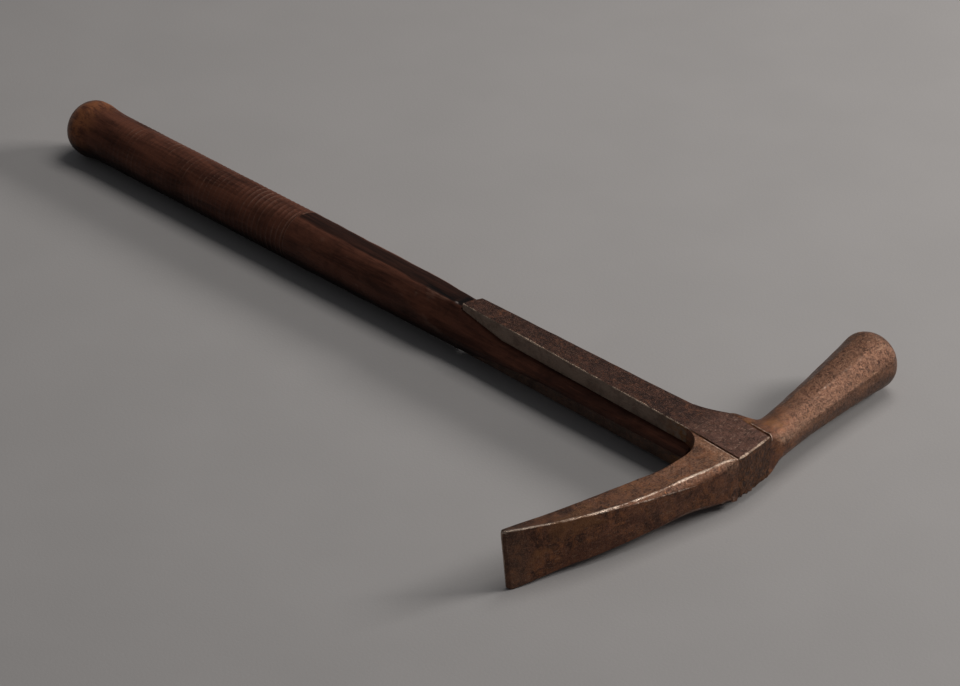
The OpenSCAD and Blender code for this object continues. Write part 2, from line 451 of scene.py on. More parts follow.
def poll_rings():
    """Sections from the far wall of the channel, through the square shoulder and the round neck, to the
    domed struck face. They lean back with the poll. Here s runs along the poll's axis from its neck."""
    along = math.cos(POLL_LEAN)
    y = stations((FAR_Y + 0.02, FAR_Y + 0.06, 0.02), (FAR_Y + 0.06, FAR_Y + 1.6, 0.13),
                 (FAR_Y + 1.6, 36, 0.45))
    s = (y - POLL_NECK_Y) / along
    s = np.concatenate([s, stations((s[-1] + 0.7, BELL_S, 0.7))])
    y = POLL_NECK_Y + s * along
    radius = mix(POLL_NECK_R, BELL_R, np.clip(s / BELL_S, 0, 1) ** 1.35)
    square = poll_shoulder(y, radius)
    around = square.shape[1]
    angle = math.pi / 4 + (np.arange(around) - (CORNER_STEPS - 1) / 2) / around * 2 * math.pi
    loops = mix(square, poll_neck(s, radius, angle), smooth(FAR_Y + 1, 27, y)[:, None, None])
    face, face_s = poll_face(angle)
    loops = np.concatenate([loops, face])
    lean = np.concatenate([POLL_LEAN * smooth(FAR_Y, 38, y), np.full(len(face), POLL_LEAN)])[:, None]
    y = np.concatenate([y, POLL_NECK_Y + face_s * along])
    # the poll's rim reaches the floor
    droop = (STAND_R - BELL_R) * smooth(35, 95, y)
    return np.stack([poll_axis(y)[:, None] + loops[..., 0] * np.cos(lean),
                     y[:, None] + loops[..., 0] * np.sin(lean),
                     loops[..., 1] - droop[:, None]], -1)


def forge_head(piece, free):
    """Grooves along the seams, hammer marks, the crumbled lower corner by the crown, and the lip that
    was driven up along the far seam."""
    x, y, z = piece.points.T
    piece.points[:, 2] -= np.sign(z) * seam_groove(piece.points) * free
    on_poll = smooth(FAR_Y + 6, 50, y)
    forged = 0.08 * fractal(piece.points, 15) * smooth(EDGE_Y, EDGE_Y + 8, y)
    forged += 0.04 * fractal(piece.points + 40, 4) + 0.05 * on_poll * fractal(piece.points + 90, 1.9)
    from_near_wall = 1 - smooth(NEAR_Y - 3, NEAR_Y - 0.2, y)
    forged *= np.where(y > 0, smooth(FAR_Y + 0.2, FAR_Y + 3, y), from_near_wall)
    low_corner = bell(y + 9.8, 3.4) * smooth(-4, -9, z) * smooth(-9, -4, x)
    crumbled = low_corner * (1.1 * fractal(piece.points + 7, 2.8) + 0.35)
    lip = 0.22 * bell(y - FAR_Y - 0.7, 0.4) * smooth(-15, -9, x) * smooth(5, 7, z)
    lip *= 1 + 1.2 * bell(x + 4.2, 0.8)
    piece.push(free * (forged + crumbled + lip))


def mark_head(piece, lines, free):
    x, y, z = piece.points.T
    facing = piece.normals()
    top = smooth(0.3, 0.8, facing[:, 2])
    fine, broad = piece.relief(3), piece.relief(24)
    # bright edges: worn where metal stands out, and painted highlight lines on the two seams and on the
    # chamfer's lines
    on_top = smooth(5, 7, z)
    at_walls = smooth(NEAR_Y - 1.3, NEAR_Y - 0.6, y) * (1 - smooth(FAR_Y + 0.6, FAR_Y + 1.3, y))
    on_shoulder = smooth(FAR_Y, FAR_Y + 1.5, y) * (1 - smooth(28, 36, y))
    on_chamfer = smooth(0.1, 0.4, facing[:, 0]) * smooth(0.1, 0.4, facing[:, 2]) * (y < 0)
    edges = np.clip(fine * 5 + broad * 0.6, 0, 0.7)
    edges *= (1 - at_walls) * (1 - 0.7 * on_shoulder) * (1 - 0.85 * on_chamfer)
    near_seam_highlight = bell(y - NEAR_Y + 0.75, 0.3) * smooth(THROAT_X - 2, THROAT_X + 2, x)
    far_seam_highlight = bell(y - FAR_Y - 0.7, 0.3) * smooth(-17, -9, x)
    seams = 0.65 * (near_seam_highlight + far_seam_highlight) * on_top
    nibbled = np.clip(0.75 + 0.8 * fractal(piece.points + 17, 7), 0.25, 1)
    piece.marks["wear_and_highlight"] = np.clip(edges + seams + 0.95 * lines * (z > 0), 0, 1) * nibbled * free
    piece.marks["dirt_and_shade"] = np.clip(-fine * 9 - broad * 0.8, 0, 1) * (1 - 0.8 * at_walls * (1 - on_top))
    # handling has polished the corner by the crown, beside the near seam and the top; the poll's flank
    # gets a painted highlight
    crown_corner = bell(y + 10, 5) * smooth(-12, -3, x) * smooth(2, 7, z)
    beside_seam = bell(y - NEAR_Y + 3.4, 0.9) * smooth(THROAT_X, -14, x) * on_top
    blade_top = top * smooth(-90, -20, y) * (y < 0)
    flank = bell(facing[:, 2] - 0.36, 0.2) * smooth(0.3, 0.6, facing[:, 0])
    flank *= smooth(FAR_Y + 1, FAR_Y + 7, y) * (1 - smooth(54, 72, y))
    polish_and_highlight = 0.45 * crown_corner + 0.6 * beside_seam + 0.3 * blade_top + 0.8 * flank
    piece.marks["polish_and_highlight"] = np.clip(polish_and_highlight, 0, 1)
    piece.marks["bevel"] = 1 - smooth(EDGE_Y + 5, EDGE_Y + 13, y)
    piece.marks["poll"] = smooth(FAR_Y + 4, 40, y)
    # darker is the blade towards its tip; painted shade darkens the blade's outer face by the strap and
    # the poll's underside
    painted_shade_outer_face = smooth(0.6, 0.95, facing[:, 0]) * smooth(-70, -40, y) * (y < 0)
    painted_shade_under_poll = smooth(0.12, -0.25, facing[:, 2]) * piece.marks["poll"]
    at_tip = mix(0.85, 0.52, top)
    piece.marks["tone"] = mix(at_tip, 1, smooth(-100, -30, y)) - 0.2 * painted_shade_outer_face - 0.45 * painted_shade_under_poll


def make_head(material):
    blade, lines = blade_rings()
    rest = np.concatenate([web_rings(), poll_rings()])
    piece = Piece("head_body", np.concatenate([blade, rest]))
    lines = np.concatenate([lines.ravel(), np.zeros(len(piece.points) - lines.size)])
    y = piece.points[:, 1]
    free = 1 - smooth(NEAR_Y - 0.1, NEAR_Y, y) * (1 - smooth(FAR_Y, FAR_Y + 0.1, y))
    forge_head(piece, free)
    mark_head(piece, lines, free)
    piece.finish("head", material, "head_steel")


# ---- Strap ----

def strap_half(tip, crown):
    """Outer and inner side views of one leg of the strap, from its tip to the middle of the crown."""
    leg = stations((TIP_X, TIP_X + 4, 0.3), (TIP_X + 4, -44, 1.0), (-44, -18, 0.5), (-18, -BEND_LONG, 0.6))
    turn = np.linspace(0, math.pi / 2, 10)[1:]
    bend_z = crown - BEND_HIGH
    side = np.linspace(bend_z, 0, 18)[1:]
    squarish = 0.75
    bend_x = BEND_LONG * np.sin(turn) ** squarish - BEND_LONG
    outer = [(leg, outer_z(leg, tip, crown)),
             (bend_x, bend_z + BEND_HIGH * np.cos(turn) ** squarish),
             (0 * side, side)]
    inner_r = 0.5
    inner_leg = np.minimum(leg, -CROWN_THICK - inner_r + 0.01 * leg)
    inner_bend_x = -CROWN_THICK - inner_r + inner_r * np.sin(turn)
    inner_bend_z = CROWN_INNER_Z - inner_r + inner_r * np.cos(turn)
    inner = [(inner_leg, inner_z(inner_leg)),
             (inner_bend_x, inner_bend_z),
             (0 * side - CROWN_THICK, side * (CROWN_INNER_Z - 0.6) / bend_z)]
    return [np.concatenate([pairs(*run) for run in runs]) for runs in (outer, inner)]


def strap_rings():
    """Sections across the bar, from the upper tip round the crown to the lower tip."""
    upper_out, upper_in = strap_half(TIP_Z, CROWN_Z)
    lower_out, lower_in = strap_half(LOW_TIP_Z, LOW_CROWN_Z)
    outer = np.concatenate([upper_out, lower_out[-2::-1] * [1, -1]])
    inner = np.concatenate([upper_in, lower_in[-2::-1] * [1, -1]])
    along = outer[:, 0]
    near, far = strap_near(along), strap_far(along)
    # corners in (across, depth), where depth runs from the inner face at 0 to the outer face
    depth = np.linalg.norm(outer - inner, axis=1)
    corners = np.stack([pairs(near, depth), pairs(far, depth),
                        pairs(far, 0 * depth), pairs(near, 0 * depth)], axis=1)
    worn = np.minimum(np.minimum(0.4, depth * 0.4), (far - near) * 0.4)
    hidden = np.minimum(worn, 0.12)
    flush = np.where(along > THROAT_X - 12, hidden, worn)
    on_side = np.where(along > -0.6, 0.02, worn)
    cuts = np.stack([on_side, np.minimum(on_side, flush), hidden, hidden], axis=1)
    loops = sections(corners, cuts, np.full(cuts.shape, 0.6), 6, 22)
    share = (loops[..., 1] / depth[:, None])[..., None]
    flat = mix(inner[:, None], outer[:, None], share)
    return np.stack([flat[..., 0], loops[..., 0], flat[..., 1]], -1)


def beat_strap(piece):
    """Lays the crown back across, beats its edge on the blade's side down level with the head, and
    hammers the bar. Returns how far each point belongs to the outside of the bar."""
    x, y, z = piece.points.T
    battered = (0.42 + 0.12 * smooth(4, -5, z)) * bell(y - NEAR_Y, 2.2)
    piece.points[:, 0] -= (skew(y) + battered) * smooth(-16, -1, x)
    piece.points[:, 2] -= np.sign(z) * seam_groove(piece.points)
    from_crown = x + skew(y)
    near_top = smooth(-0.8, -0.2, np.abs(z) - outer_z(np.minimum(x, -1)) + 0.6)
    outside = np.clip(near_top + smooth(-4, -2.5, from_crown), 0, 1)
    hammered = 0.10 * fractal(piece.points, 13) + 0.04 * fractal(piece.points + 30, 4)
    streaked = piece.points * [1, 1, 0.55]
    on_crown = smooth(-2.5, -0.6, from_crown) * (np.abs(z) < CROWN_Z - 0.9)
    low_edge = smooth(-6.5, -8.5, z) * smooth(-5, -2, x)
    beaten = on_crown * (0.22 * fractal(streaked + 11, 1.8) - 0.10)
    beaten += low_edge * (0.9 * fractal(piece.points, 2.0) - 0.25)
    settled = 1 - smooth(FAR_Y - 3, FAR_Y - 0.2, y)
    settled *= np.where(x < THROAT_X, 1, smooth(NEAR_Y + 0.2, NEAR_Y + 2.5, y))
    piece.push((outside * hammered + beaten) * settled)
    return outside


def mark_strap(piece, from_near, outside):
    x, y, z = piece.points.T
    facing = piece.normals()
    fine, broad = piece.relief(3), piece.relief(20)
    on_panel = smooth(THROAT_X - 4, THROAT_X + 4, x)
    from_face = np.abs(z) - outer_z(np.minimum(x, -1))
    near_edge = bell(np.hypot(from_near, from_face), 0.38) * (1 - on_panel)
    crown_edge = bell(np.hypot(x + skew(y) + 0.35, z - CROWN_Z + 0.25), 0.55)
    nibbled = np.clip(0.65 + 0.9 * fractal(piece.points * [0.6, 1, 1] + 5, 5), 0.3, 1)
    edges = np.clip(fine * 6 + broad * 0.8, 0, 0.7) * (1 - on_panel) * np.where(z > 0, 1, 0.25)
    # painted highlights along the near edge of the top and along the crown's edge
    painted_highlight = 0.9 * near_edge * (z > 0) + crown_edge
    piece.marks["wear_and_highlight"] = np.clip((edges + painted_highlight) * nibbled + 0.12 * crown_edge, 0, 1) * outside
    piece.marks["dirt_and_shade"] = np.clip(-fine * 9 - broad, 0, 1)
    on_leg = (x < THROAT_X + 4) * np.where(z > 0, 1, 0.3)
    # the legs' sides are greyer: their own finish, with a painted reflection of the floor
    piece.marks["side"] = smooth(0.5, 0.8, np.abs(facing[:, 1])) * on_leg
    piece.marks["crown"] = smooth(-3, -0.6, x + skew(y)) * smooth(0.4, 0.8, facing[:, 0])
    piece.marks["panel"] = smooth(-34, -20, x) * smooth(0.5, 0.9, np.abs(facing[:, 2]))
    piece.marks["throat"] = bell(x - THROAT_X + 4, 9) * smooth(0.4, 0.8, -facing[:, 1])


def make_strap(material):
    """One bar bent in a U: along the top of the wood, round the crown, and back along the underside."""
    piece = Piece("strap_bar", strap_rings())
    x, y, _ = piece.points.T
    from_near = np.abs(y - strap_near(x))
    outside = beat_strap(piece)
    mark_strap(piece, from_near, outside)
    piece.finish("strap", material, "strap_iron")


# ---- Handle ----

FAR_OFF = 60.0  # the distance to a plane that doesn't reach the wood


def turned_radius(x):
    """Radius of the turned wood before anything is shaved off it."""
    taper = mix(GRIP_R, WOOD_END_R, np.clip((x - RING_END_X) / (THROAT_X - RING_END_X), 0, 1))
    dome = np.clip((KNOB_X - x) / (KNOB_X - BUTT_X), 0, 1)
    knob = STAND_R * np.sqrt(np.maximum(1 - dome ** 2.4, 0))
    back_to_grip = np.clip((NECK_X - x) / (NECK_X - KNOB_X - 1.5), 0, 1) ** 2.5
    profile = np.where(x < KNOB_X + 1.5, knob, mix(taper, STAND_R, back_to_grip))
    start = RING_END_X - RINGS * RING_PITCH
    phase = np.mod((x - RING_END_X) / RING_PITCH, 1)
    crest = bell(phase - 0.5, 0.2)
    rubbed = mix(0.36, 1, smooth(start - 2, start + 24, x)) * smooth(NECK_X - 6, NECK_X + 8, x)
    return profile - 0.34 * (1 - crest) * rubbed * (x < RING_END_X)


def plane_distance(ny, nz, reach, dy, dz):
    """Distance from the axis, along each direction, to a plane with its normal along (ny, nz)."""
    along = ny[:, None] * dy + nz[:, None] * dz
    return np.where(along > 0.03, reach[:, None] / np.maximum(along, 0.03), FAR_OFF)


def shaved_flats(x, dy, dz):
    """Distances to the seats under the strap's legs and to the flats behind its tips."""
    zero = np.zeros_like(x)
    under = np.interp(x, [TIP_X - 0.4, TIP_X, KNEE_X, THROAT_X],
                      [FAR_OFF, TIP_INNER_Z - 0.1, KNEE_INNER_Z - 0.2, ROOT_INNER_Z - 0.2])
    lean = np.radians(curve((RING_END_X, 15), (RING_END_X + 64, 4), (TIP_X, 1))(x))
    flat = np.interp(x, [RING_END_X + 0.6, RING_END_X + 1.2, RING_END_X + 50, TIP_X, KNEE_X],
                     [20, GRIP_R - 0.3, GRIP_R - 0.75, 10.2, 12])
    planes = [(zero, zero + 1, under), (zero, zero - 1, under),
              (np.sin(lean), np.cos(lean), flat), (zero, zero - 1, flat)]
    return [plane_distance(*plane, dy, dz) for plane in planes]


def shaved_shoulders(x, dy, dz):
    """Distances to the planes beside the strap, where the wood is pared down to the strap's side and
    then falls to a shoulder. They are mirrored to both sides."""
    behind_tip = TIP_X - 34
    past_knee = KNEE_X + 30
    places = [behind_tip, TIP_X, TIP_X + 13, KNEE_X, past_knee, THROAT_X]

    def along_wood(*values):
        return curve(*zip(places, values))(x)

    turn = np.radians(along_wood(48, 62, 58, 47, 34, 30))
    side_y = along_wood(8.7, 4.7, 5.0, 5.3, 6.1, 7.4)
    side_z = along_wood(9.4, 9.3, 7.0, 4.8, 3.9, 3.3)
    low_turn = np.radians(curve((behind_tip, 40), (KNEE_X, 38), (THROAT_X, 30))(x))
    low_y = curve((behind_tip, 8.5), (KNEE_X, 6.9), (THROAT_X, 7.7))(x)
    low_z = curve((behind_tip, 11.0), (TIP_X, 9.6), (KNEE_X, 6.2), (past_knee, 4.2), (THROAT_X, 3.4))(x)
    limits = []
    for up, lean, y, z in ((1, turn, side_y, side_z), (-1, low_turn, low_y, low_z)):
        reach = np.sin(lean) * y + np.cos(lean) * z
        for side in (-1, 1):
            limits.append(plane_distance(np.sin(lean) * side, np.cos(lean) * up, reach, dy, dz))
    return limits


def handle_rings():
    """Sections of the wood: at each direction the nearest of the turned round and the shaved planes."""
    x = stations((BUTT_X + 0.04, BUTT_X + 1, 0.12), (BUTT_X + 1, NECK_X, 0.5),
                 (NECK_X, RING_END_X - 52, 0.36), (RING_END_X - 52, RING_END_X + 2, 0.24),
                 (RING_END_X + 2, TIP_X - 12, 1.0), (TIP_X - 12, TIP_X + 2, 0.25),
                 (TIP_X + 2, KNEE_X + 4, 0.6), (KNEE_X + 4, THROAT_X - 5, 1.1),
                 (THROAT_X - 5, THROAT_X, 0.4))
    around = 176
    angle = np.arange(around) / around * 2 * math.pi
    dy, dz = np.sin(angle)[None], np.cos(angle)[None]
    limits = [np.repeat(turned_radius(x)[:, None], around, 1)]
    limits += shaved_flats(x, dy, dz) + shaved_shoulders(x, dy, dz)
    softness = 30.0
    radius = sum(limit ** -softness for limit in limits) ** (-1 / softness)
    return np.stack([np.repeat(x[:, None], around, 1), radius * dy, radius * dz], -1)


def dent_wood(piece):
    x, y, z = piece.points.T
    grain = piece.points * [0.12, 1, 1]
    open_wood = smooth(BUTT_X, BUTT_X + 6, x) * (1 - smooth(THROAT_X - 0.6, THROAT_X, x))
    under_strap = (x > TIP_X) * (np.abs(y) < 7) * (np.abs(z) > 2)
    dents = 0.10 * fractal(piece.points, 18) + 0.06 * fractal(grain + 20, 2.2)
    dents += smooth(RING_END_X, RING_END_X + 6, x) * (0.12 * fractal(piece.points + 60, 9) - 0.04)
    ragged = 0.5 * np.clip(fractal(grain * [0.5, 1, 1] + 33, 2.4) - 0.15, 0, 1) * smooth(-70, -28, x)
    piece.push((dents - ragged) * open_wood * (1 - under_strap))


def bruise_wood(piece):
    """Sinks the pocket behind the strap's tip and the long bruise that runs back from it, and raises a
    pale chip between them. Returns where the hollows and the chip are."""
    x, y, z = piece.points.T
    from_tip = x - TIP_X
    top = z > 5
    pocket = np.exp(-((from_tip + 1.8) / 2.2) ** 4 - ((y + 0.5) / 4.2) ** 4) * top
    bruise = np.exp(-((from_tip + 13) / 9) ** 4 - ((y + 2.6 + (from_tip + 13) * 0.04) / 1.1) ** 2) * top
    chip = bell(from_tip + 3.4, 0.8) * bell(y + 3.4, 0.5) * top
    piece.points[:, 2] -= 0.35 * pocket + 0.3 * bruise - 0.25 * chip
    return pocket + bruise, chip


def mark_wood(piece, hollows, chip):
    x, _, z = piece.points.T
    facing = piece.normals()
    fine, broad = piece.relief(3), piece.relief(14)
    rubbed = np.clip(0.5 + 0.8 * fractal(piece.points + 15, 14), 0.15, 1)
    beside_strap = smooth(TIP_X - 8, TIP_X - 2, x)
    piece.marks["wear_and_highlight"] = np.clip((fine * 10 + broad * 1.4) * rubbed * (1 - 0.85 * beside_strap), 0, 1)
    # grime in creases, and a painted shadow in the pocket behind the strap's tip and in the long bruise
    piece.marks["dirt_and_shade"] = np.clip(hollows - fine * 8 - broad * 1.4, 0, 1)
    piece.marks["chip"] = chip
    behind_tip = smooth(RING_END_X, RING_END_X + 1.5, x) * (x < TIP_X + 2)
    piece.marks["flat"] = smooth(0.93, 0.975, facing[:, 2] + 0.12 * facing[:, 1]) * behind_tip
    piece.marks["knob"] = 1 - smooth(KNOB_X - 1, KNOB_X + 12, x)
    piece.marks["end_grain"] = 1 - smooth(BUTT_X + 1, KNOB_X - 1, x)
    # painted shade: the wood darkens towards its underside, which lies in the tool's own shadow
    piece.marks["tone"] = mix(0.1, 1, smooth(-6, 3, z))


def make_handle(material):
    piece = Piece("turned_handle", handle_rings())
    dent_wood(piece)
    hollows, chip = bruise_wood(piece)
    mark_wood(piece, hollows, chip)
    piece.finish("handle", material, "handle_wood")


# ---- Rivets ----

def make_rivet(index, material):
    """A pin through the strap and the wood, dressed flush with the strap on both sides."""
    node = f"strap_rivet_{index}"
    low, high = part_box(node)
    middle = ((low + high) / 2 - Vector(CROWN)) / MM
    radius = (high.x - low.x) / 2 / MM
    reach = (high.z - low.z) / 2 / MM
    # the filed end, as shares of the radius and heights over the strap
    profile = [(0.1, 0.03), (0.6, 0.0), (0.92, -0.02), (1.0, -0.1)]
    top = [(r * radius, reach + rise) for r, rise in profile]
    shaft = [(radius, h) for h in np.linspace(reach - 1, 1 - reach, 9)]
    outline = top + shaft + [(r, -h) for r, h in top[::-1]]
    around = 48
    angle = np.arange(around) / around * 2 * math.pi
    rings = np.array([np.stack([middle.x + r * np.cos(angle), middle.y + r * np.sin(angle),
                                np.full(around, middle.z + h)], -1) for r, h in outline])
    piece = Piece(f"strap_rivet_pin_{index}", rings)
    from_middle = np.hypot(piece.points[:, 0] - middle.x, piece.points[:, 1] - middle.y) / radius
    piece.marks["dirt_and_shade"] = 0.4 * smooth(0.86, 0.97, from_middle)
    piece.finish(node, material, "rivet_iron")


# ---- Materials ----

class Shader:
    """A Principled material, with short calls for the nodes that feed it. Sizes of noise are in mm."""

    def __init__(self, name):
        self.material = bpy.data.materials.new(name)
        self.material.use_nodes = True
        self.tree = self.material.node_tree
        self.surface = self.tree.nodes["Principled BSDF"]
        self.place = self.node("ShaderNodeTexCoord").outputs["Object"]

    def node(self, kind, **settings):
        made = self.tree.nodes.new(kind)
        for key, value in settings.items():
            setattr(made, key, value)
        return made

    def put(self, socket, value):
        if isinstance(value, bpy.types.NodeSocket):
            self.tree.links.new(value, socket)
        elif isinstance(value, tuple):
            socket.default_value = (*value, 1)[:len(socket.default_value)]
        else:
            socket.default_value = value

    def stretched(self, along_x, along_y=1, along_z=1, shift=0.0):
        """The place with each axis squeezed, so that noise runs in streaks."""
        made = self.node("ShaderNodeMapping")
        self.put(made.inputs["Vector"], self.place)
        made.inputs["Scale"].default_value = (along_x, along_y, along_z)
        made.inputs["Location"].default_value = (shift, shift, shift)
        return made.outputs["Vector"]

    def noise(self, size, detail=4, rough=0.6, place=None, twist=0.0):
        made = self.node("ShaderNodeTexNoise")
        self.put(made.inputs["Vector"], place or self.place)
        made.inputs["Scale"].default_value = 1 / (size * MM)
        made.inputs["Detail"].default_value = detail
        made.inputs["Roughness"].default_value = rough
        made.inputs["Distortion"].default_value = twist
        return made.outputs["Fac"]

    def cells(self, size):
        made = self.node("ShaderNodeTexVoronoi")
        self.put(made.inputs["Vector"], self.place)
        made.inputs["Scale"].default_value = 1 / (size * MM)
        return made.outputs["Distance"]

    def mark(self, name):
        return self.node("ShaderNodeAttribute", attribute_name=name).outputs["Fac"]

    def math(self, kind, a, b):
        made = self.node("ShaderNodeMath", operation=kind)
        self.put(made.inputs[0], a)
        self.put(made.inputs[1], b)
        return made.outputs[0]

    def rise(self, value, start, end, low=0.0, high=1.0):
        """Goes from low at start to high at end, and stays there beyond."""
        made = self.node("ShaderNodeMapRange", interpolation_type="SMOOTHSTEP")
        for socket, v in zip(made.inputs, (value, start, end, low, high)):
            self.put(socket, v)
        return made.outputs[0]

    def blend(self, amount, a, b):
        made = self.node("ShaderNodeMix", data_type="RGBA")
        self.put(made.inputs["Factor"], amount)
        self.put(made.inputs[6], a)
        self.put(made.inputs[7], b)
        return made.outputs[2]

    def times(self, a, b):
        return self.math("MULTIPLY", a, b)

    def shade(self, colour, amount):
        """The colour made darker or lighter by a factor."""
        made = self.node("ShaderNodeVectorMath", operation="SCALE")
        self.put(made.inputs["Vector"], colour)
        self.put(made.inputs["Scale"], amount)
        return made.outputs["Vector"]

    def mix(self, amount, a, b):
        made = self.node("ShaderNodeMix", data_type="FLOAT")
        self.put(made.inputs["Factor"], amount)
        self.put(made.inputs[2], a)
        self.put(made.inputs[3], b)
        return made.outputs[0]

    def bump(self, height, depth, under=None):
        """Relief of the given depth in mm, over the relief that is under it."""
        made = self.node("ShaderNodeBump")
        made.inputs["Distance"].default_value = depth * MM
        self.put(made.inputs["Height"], height)
        if under:
            self.put(made.inputs["Normal"], under)
        return made.outputs["Normal"]

    def finish(self, colour, rough, metal, relief):
        self.put(self.surface.inputs["Base Color"], colour)
        self.put(self.surface.inputs["Roughness"], rough)
        self.put(self.surface.inputs["Metallic"], metal)
        self.put(self.surface.inputs["Normal"], relief)
        return self.material


def patina(s, dark, mid, warm, bright, rust_share, along, contrast):
    """Browned iron, from dark to mid with rust of the warm tone, dark pits, bright worn edges with
    painted highlight lines, and darker hollows and creases. Its fine mottles are stretched by along and
    shade it by the contrast. Returns its colour, the rust's and the bare metal's share, and its relief."""
    blotch = s.noise(8, 6, 0.7, twist=0.4)
    grain = s.noise(0.9, 5, 0.75)
    fleck = s.noise(0.4, 3, 0.6)
    tone = s.math("ADD", s.times(blotch, 0.8), s.times(grain, 0.7))
    colour = s.blend(s.rise(tone, 0.64, 0.88), dark, mid)
    rusty = s.math("ADD", s.noise(5, 7, 0.75, twist=0.8), s.times(fleck, 0.35))
    rust = s.rise(rusty, 0.80 - rust_share, 1.0 - rust_share)
    colour = s.blend(s.times(rust, 0.8), colour, warm)
    pits = s.rise(s.cells(0.8), 0.05, 0.24)
    pit_zone = s.rise(s.noise(6, 3, 0.6, place=s.stretched(1, 1, 1, 0.37)), 0.47, 0.60)
    pitted = s.times(pit_zone, s.math("SUBTRACT", 1.0, pits))
    colour = s.blend(s.times(pitted, 0.7), colour, tuple(c * 0.35 for c in dark))
    speck = s.rise(s.noise(0.7, 2, 0.5, place=s.stretched(1, 1, 1, 0.11)), 0.66, 0.73)
    colour = s.blend(s.times(speck, 0.55), colour, tuple(min(1, c * 2.2) for c in warm))
    mottle = s.noise(1.5, 7, 0.85, place=s.stretched(*along), twist=0.6)
    colour = s.shade(colour, s.rise(mottle, 0.38, 0.64, 1 - contrast, 1 + contrast))
    sparkle = s.rise(s.noise(0.6, 4, 0.8), 0.36, 0.60, 0.40, 1.35)
    # bright bare metal where worn, with painted highlight lines along seams and edges
    worn = s.rise(s.times(s.mark("wear_and_highlight"), sparkle), 0.16, 0.70)
    colour = s.blend(worn, colour, bright)
    colour = s.blend(s.times(s.mark("dirt_and_shade"), 0.9), colour, tuple(c * 0.2 for c in dark))
    relief = s.bump(grain, 0.30)
    relief = s.bump(s.math("SUBTRACT", fleck, s.times(pitted, 0.9)), 0.13, relief)
    return colour, rust, worn, relief


def head_steel():
    s = Shader("head_steel")
    colour, rust, worn, relief = patina(
        s, dark=(0.058, 0.021, 0.011), mid=(0.200, 0.083, 0.046), warm=(0.270, 0.092, 0.026),
        bright=(0.88, 0.68, 0.54), rust_share=0.18, along=(1, 0.4, 1), contrast=0.28)
    # broad dark and orange zones along the blade
    zone = s.noise(16, 4, 0.65, place=s.stretched(1, 0.45, 1, 0.05), twist=0.3)
    colour = s.blend(s.rise(zone, 0.44, 0.34, 0, 0.6), colour, (0.105, 0.036, 0.018))
    colour = s.blend(s.rise(zone, 0.54, 0.66, 0, 0.6), colour, (0.260, 0.108, 0.036))
    # polished by handling, with a painted highlight on the poll's flank
    polish_and_highlight = s.times(s.mark("polish_and_highlight"), s.rise(s.noise(0.9, 5, 0.8), 0.40, 0.62))
    colour = s.blend(s.times(polish_and_highlight, 0.8), colour, (0.52, 0.32, 0.21))
    colour = s.blend(s.times(s.mark("bevel"), 0.35), colour, (0.110, 0.076, 0.058))
    # the poll's wrinkled skin, smooth and shiny from handling
    on_poll = s.mark("poll")
    wrinkles = s.noise(1.1, 5, 0.75, twist=1.0)
    skin = s.blend(s.rise(wrinkles, 0.41, 0.57), (0.045, 0.020, 0.013), (0.300, 0.155, 0.095))
    colour = s.blend(s.times(on_poll, 0.62), colour, skin)
    scratches = s.noise(0.5, 3, 0.5, place=s.stretched(1, 0.06, 1))
    colour = s.blend(s.rise(scratches, 0.58, 0.70, 0, 0.35), colour, (0.36, 0.22, 0.14))
    # darker towards the blade's tip, with painted shade on its outer face and under the poll
    colour = s.shade(colour, s.mark("tone"))
    relief = s.bump(scratches, 0.04, relief)
    relief = s.bump(s.times(on_poll, wrinkles), 0.24, relief)
    handled = s.times(on_poll, 0.6)
    rough = s.mix(rust, s.mix(worn, s.mix(handled, 0.42, 0.30), 0.30), 0.60)
    metal = s.mix(rust, s.mix(worn, s.mix(handled, 0.66, 0.85), 0.9), 0.30)
    return s.finish(colour, rough, metal, relief)


def strap_iron():
    s = Shader("strap_iron")
    colour, rust, worn, relief = patina(
        s, dark=(0.034, 0.013, 0.008), mid=(0.085, 0.036, 0.023), warm=(0.155, 0.050, 0.017),
        bright=(0.80, 0.58, 0.42), rust_share=0.12, along=(0.6, 1, 1), contrast=0.5)
    # greyer sides: their own finish, with a painted reflection of the floor
    grey_finish_and_reflection = s.times(s.mark("side"), s.rise(s.noise(5, 5, 0.7), 0.35, 0.6, 0.5, 0.85))
    colour = s.blend(grey_finish_and_reflection, colour, (0.310, 0.232, 0.180))
    on_panel = s.mark("panel")
    paler = s.times(on_panel, s.rise(s.noise(2.4, 7, 0.8), 0.38, 0.62, 0.05, 0.8))
    colour = s.blend(paler, colour, (0.180, 0.085, 0.060))
    rusty = s.times(s.mark("throat"), s.rise(s.noise(2.2, 5, 0.7), 0.40, 0.60))
    colour = s.blend(rusty, colour, (0.235, 0.105, 0.034))
    on_crown = s.mark("crown")
    streak = s.noise(1.1, 6, 0.75, place=s.stretched(1, 1, 0.6), twist=0.8)
    crown_tone = s.blend(s.rise(streak, 0.40, 0.66), (0.026, 0.0095, 0.0045), (0.190, 0.070, 0.023))
    colour = s.blend(s.times(on_crown, 0.9), colour, crown_tone)
    relief = s.bump(s.times(on_crown, streak), 0.5, relief)
    scratches = s.noise(0.4, 3, 0.5, place=s.stretched(0.12, 1, 1))
    colour = s.blend(s.rise(scratches, 0.60, 0.70, 0, 0.40), colour, (0.26, 0.14, 0.09))
    nicks = s.noise(0.45, 2, 0.5, place=s.stretched(0.7, 0.16, 1, 0.02), twist=1.5)
    colour = s.blend(s.times(on_panel, s.rise(nicks, 0.61, 0.67, 0, 0.6)), colour, (0.42, 0.27, 0.20))
    colour = s.blend(s.times(worn, 0.8), colour, (0.70, 0.52, 0.39))
    rough = s.mix(rust, s.mix(worn, 0.47, 0.33), 0.66)
    metal = s.mix(rust, s.mix(worn, 0.62, 0.9), 0.25)
    return s.finish(colour, rough, metal, relief)


